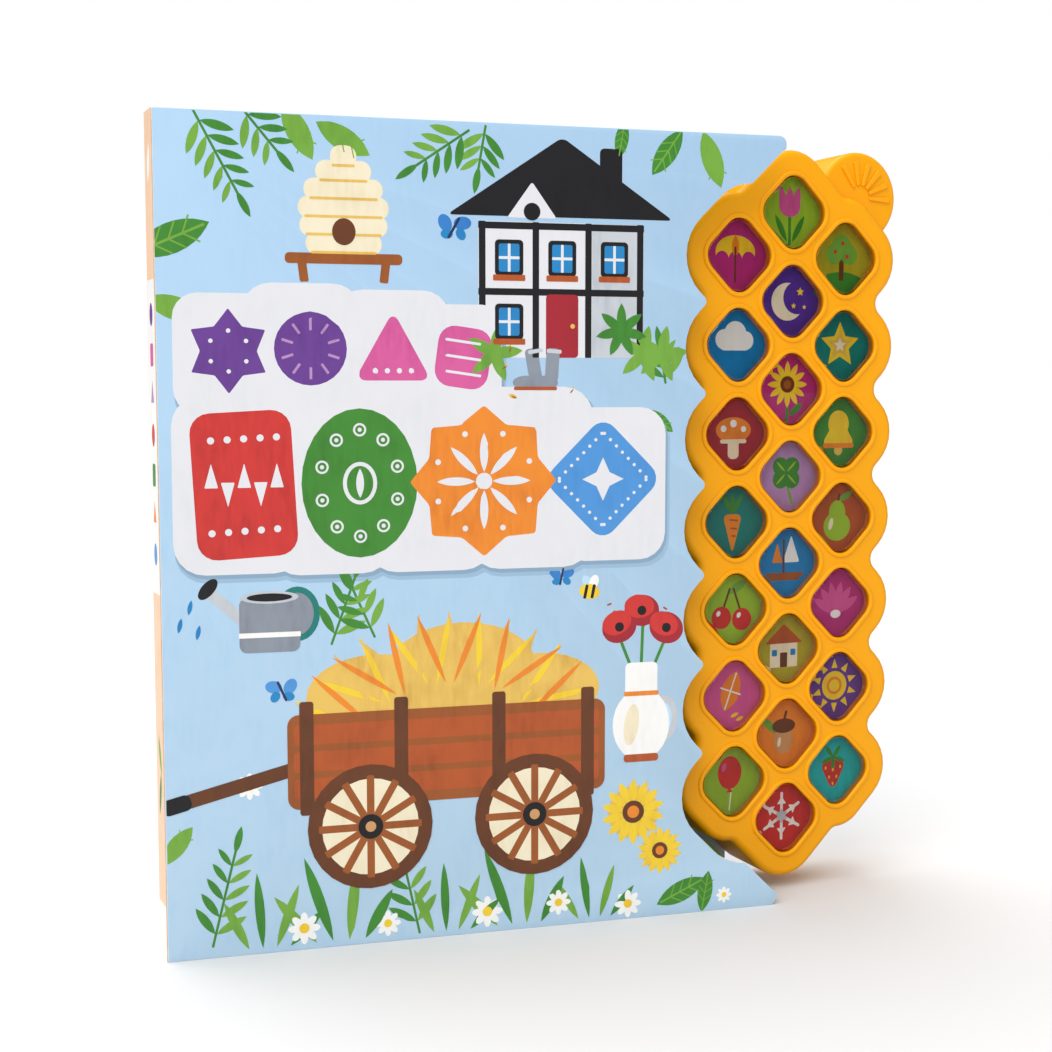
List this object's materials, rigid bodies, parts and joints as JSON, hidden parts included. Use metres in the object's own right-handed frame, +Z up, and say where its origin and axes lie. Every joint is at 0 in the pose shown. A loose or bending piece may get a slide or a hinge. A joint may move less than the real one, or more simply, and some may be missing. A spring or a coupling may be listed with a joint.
{
  "type": "children's board book with sound module",
  "caption": "Upright board book with a hinged front cover and a scalloped sound module of press-in picture buttons on its right edge.",
  "frame": {"origin": "middle of the page block's bottom edge, on the surface the book stands on, halfway across the cover", "axes": "+X across the cover from the spine to the sound module, +Y from the front cover to the back cover, +Z up"},
  "size_m": [0.3004, 0.0455, 0.3],
  "materials": {
    "cover_print": "satin laminated print on board",
    "spine_print": "satin laminated print on board",
    "page_board": "matt white board",
    "housing_plastic": "satin moulded plastic",
    "button_clear": "clear plastic over a printed card",
    "keypad_rubber": "matt",
    "circuit_laminate": "matt",
    "chip_resin": "gloss",
    "speaker_paper": "matt",
    "small_steel": "bright",
    "lead_red": "satin",
    "lead_black": "satin"
  },
  "bodies": {
    "root": {"back_cover": "cover_print", "front_housing": "housing_plastic", "rear_housing": "housing_plastic", "battery_door": "housing_plastic", "keypad_membrane": "keypad_rubber", "circuit_board": "circuit_laminate", "chip_blob": "chip_resin", "speaker_frame": "small_steel", "speaker_cone": "speaker_paper", "speaker_magnet": "small_steel", "speaker_lead_red": "lead_red", "speaker_lead_black": "lead_black", "button_cell_1": "small_steel", "button_cell_2": "small_steel", "button_cell_3": "small_steel", "door_contact": "small_steel", "floor_contact": "small_steel", "door_screw": "small_steel", "case_screw_1": "small_steel", "case_screw_2": "small_steel", "case_screw_3": "small_steel", "case_screw_4": "small_steel", "case_screw_5": "small_steel", "case_screw_6": "small_steel"},
    "pages": {"page_block": "page_board", "spine": "spine_print"},
    "front_cover": {"front_cover": "cover_print"},
    "button_middle_1": {"button_middle_1": "button_clear"},
    "button_middle_2": {"button_middle_2": "button_clear"},
    "button_middle_3": {"button_middle_3": "button_clear"},
    "button_middle_4": {"button_middle_4": "button_clear"},
    "button_middle_5": {"button_middle_5": "button_clear"},
    "button_middle_6": {"button_middle_6": "button_clear"},
    "button_middle_7": {"button_middle_7": "button_clear"},
    "button_middle_8": {"button_middle_8": "button_clear"},
    "button_left_1": {"button_left_1": "button_clear"},
    "button_left_2": {"button_left_2": "button_clear"},
    "button_left_3": {"button_left_3": "button_clear"},
    "button_left_4": {"button_left_4": "button_clear"},
    "button_left_5": {"button_left_5": "button_clear"},
    "button_left_6": {"button_left_6": "button_clear"},
    "button_left_7": {"button_left_7": "button_clear"},
    "button_right_1": {"button_right_1": "button_clear"},
    "button_right_2": {"button_right_2": "button_clear"},
    "button_right_3": {"button_right_3": "button_clear"},
    "button_right_4": {"button_right_4": "button_clear"},
    "button_right_5": {"button_right_5": "button_clear"},
    "button_right_6": {"button_right_6": "button_clear"},
    "button_right_7": {"button_right_7": "button_clear"}
  },
  "joints": [
    {"name": "back_cover_hinge", "type": "hinge", "parent": "root", "child": "pages", "pos_m": [-0.11825, 0.0063, 0.15], "axis": [0, 0, -1], "range_deg": [0, 90]},
    {"name": "front_cover_hinge", "type": "hinge", "parent": "pages", "child": "front_cover", "pos_m": [-0.11825, -0.0063, 0.15], "axis": [0, 0, -1], "range_deg": [-8, 165]},
    {"name": "button_middle_1_press", "type": "slide", "parent": "root", "child": "button_middle_1", "axis": [0, 1, 0], "range_m": [0, 0.0012], "stiffness_N_per_m": 400},
    {"name": "button_middle_2_press", "type": "slide", "parent": "root", "child": "button_middle_2", "axis": [0, 1, 0], "range_m": [0, 0.0012], "stiffness_N_per_m": 400},
    {"name": "button_middle_3_press", "type": "slide", "parent": "root", "child": "button_middle_3", "axis": [0, 1, 0], "range_m": [0, 0.0012], "stiffness_N_per_m": 400},
    {"name": "button_middle_4_press", "type": "slide", "parent": "root", "child": "button_middle_4", "axis": [0, 1, 0], "range_m": [0, 0.0012], "stiffness_N_per_m": 400},
    {"name": "button_middle_5_press", "type": "slide", "parent": "root", "child": "button_middle_5", "axis": [0, 1, 0], "range_m": [0, 0.0012], "stiffness_N_per_m": 400},
    {"name": "button_middle_6_press", "type": "slide", "parent": "root", "child": "button_middle_6", "axis": [0, 1, 0], "range_m": [0, 0.0012], "stiffness_N_per_m": 400},
    {"name": "button_middle_7_press", "type": "slide", "parent": "root", "child": "button_middle_7", "axis": [0, 1, 0], "range_m": [0, 0.0012], "stiffness_N_per_m": 400},
    {"name": "button_middle_8_press", "type": "slide", "parent": "root", "child": "button_middle_8", "axis": [0, 1, 0], "range_m": [0, 0.0012], "stiffness_N_per_m": 400},
    {"name": "button_left_1_press", "type": "slide", "parent": "root", "child": "button_left_1", "axis": [0, 1, 0], "range_m": [0, 0.0012], "stiffness_N_per_m": 400},
    {"name": "button_left_2_press", "type": "slide", "parent": "root", "child": "button_left_2", "axis": [0, 1, 0], "range_m": [0, 0.0012], "stiffness_N_per_m": 400},
    {"name": "button_left_3_press", "type": "slide", "parent": "root", "child": "button_left_3", "axis": [0, 1, 0], "range_m": [0, 0.0012], "stiffness_N_per_m": 400},
    {"name": "button_left_4_press", "type": "slide", "parent": "root", "child": "button_left_4", "axis": [0, 1, 0], "range_m": [0, 0.0012], "stiffness_N_per_m": 400},
    {"name": "button_left_5_press", "type": "slide", "parent": "root", "child": "button_left_5", "axis": [0, 1, 0], "range_m": [0, 0.0012], "stiffness_N_per_m": 400},
    {"name": "button_left_6_press", "type": "slide", "parent": "root", "child": "button_left_6", "axis": [0, 1, 0], "range_m": [0, 0.0012], "stiffness_N_per_m": 400},
    {"name": "button_left_7_press", "type": "slide", "parent": "root", "child": "button_left_7", "axis": [0, 1, 0], "range_m": [0, 0.0012], "stiffness_N_per_m": 400},
    {"name": "button_right_1_press", "type": "slide", "parent": "root", "child": "button_right_1", "axis": [0, 1, 0], "range_m": [0, 0.0012], "stiffness_N_per_m": 400},
    {"name": "button_right_2_press", "type": "slide", "parent": "root", "child": "button_right_2", "axis": [0, 1, 0], "range_m": [0, 0.0012], "stiffness_N_per_m": 400},
    {"name": "button_right_3_press", "type": "slide", "parent": "root", "child": "button_right_3", "axis": [0, 1, 0], "range_m": [0, 0.0012], "stiffness_N_per_m": 400},
    {"name": "button_right_4_press", "type": "slide", "parent": "root", "child": "button_right_4", "axis": [0, 1, 0], "range_m": [0, 0.0012], "stiffness_N_per_m": 400},
    {"name": "button_right_5_press", "type": "slide", "parent": "root", "child": "button_right_5", "axis": [0, 1, 0], "range_m": [0, 0.0012], "stiffness_N_per_m": 400},
    {"name": "button_right_6_press", "type": "slide", "parent": "root", "child": "button_right_6", "axis": [0, 1, 0], "range_m": [0, 0.0012], "stiffness_N_per_m": 400},
    {"name": "button_right_7_press", "type": "slide", "parent": "root", "child": "button_right_7", "axis": [0, 1, 0], "range_m": [0, 0.0012], "stiffness_N_per_m": 400}
  ]
}
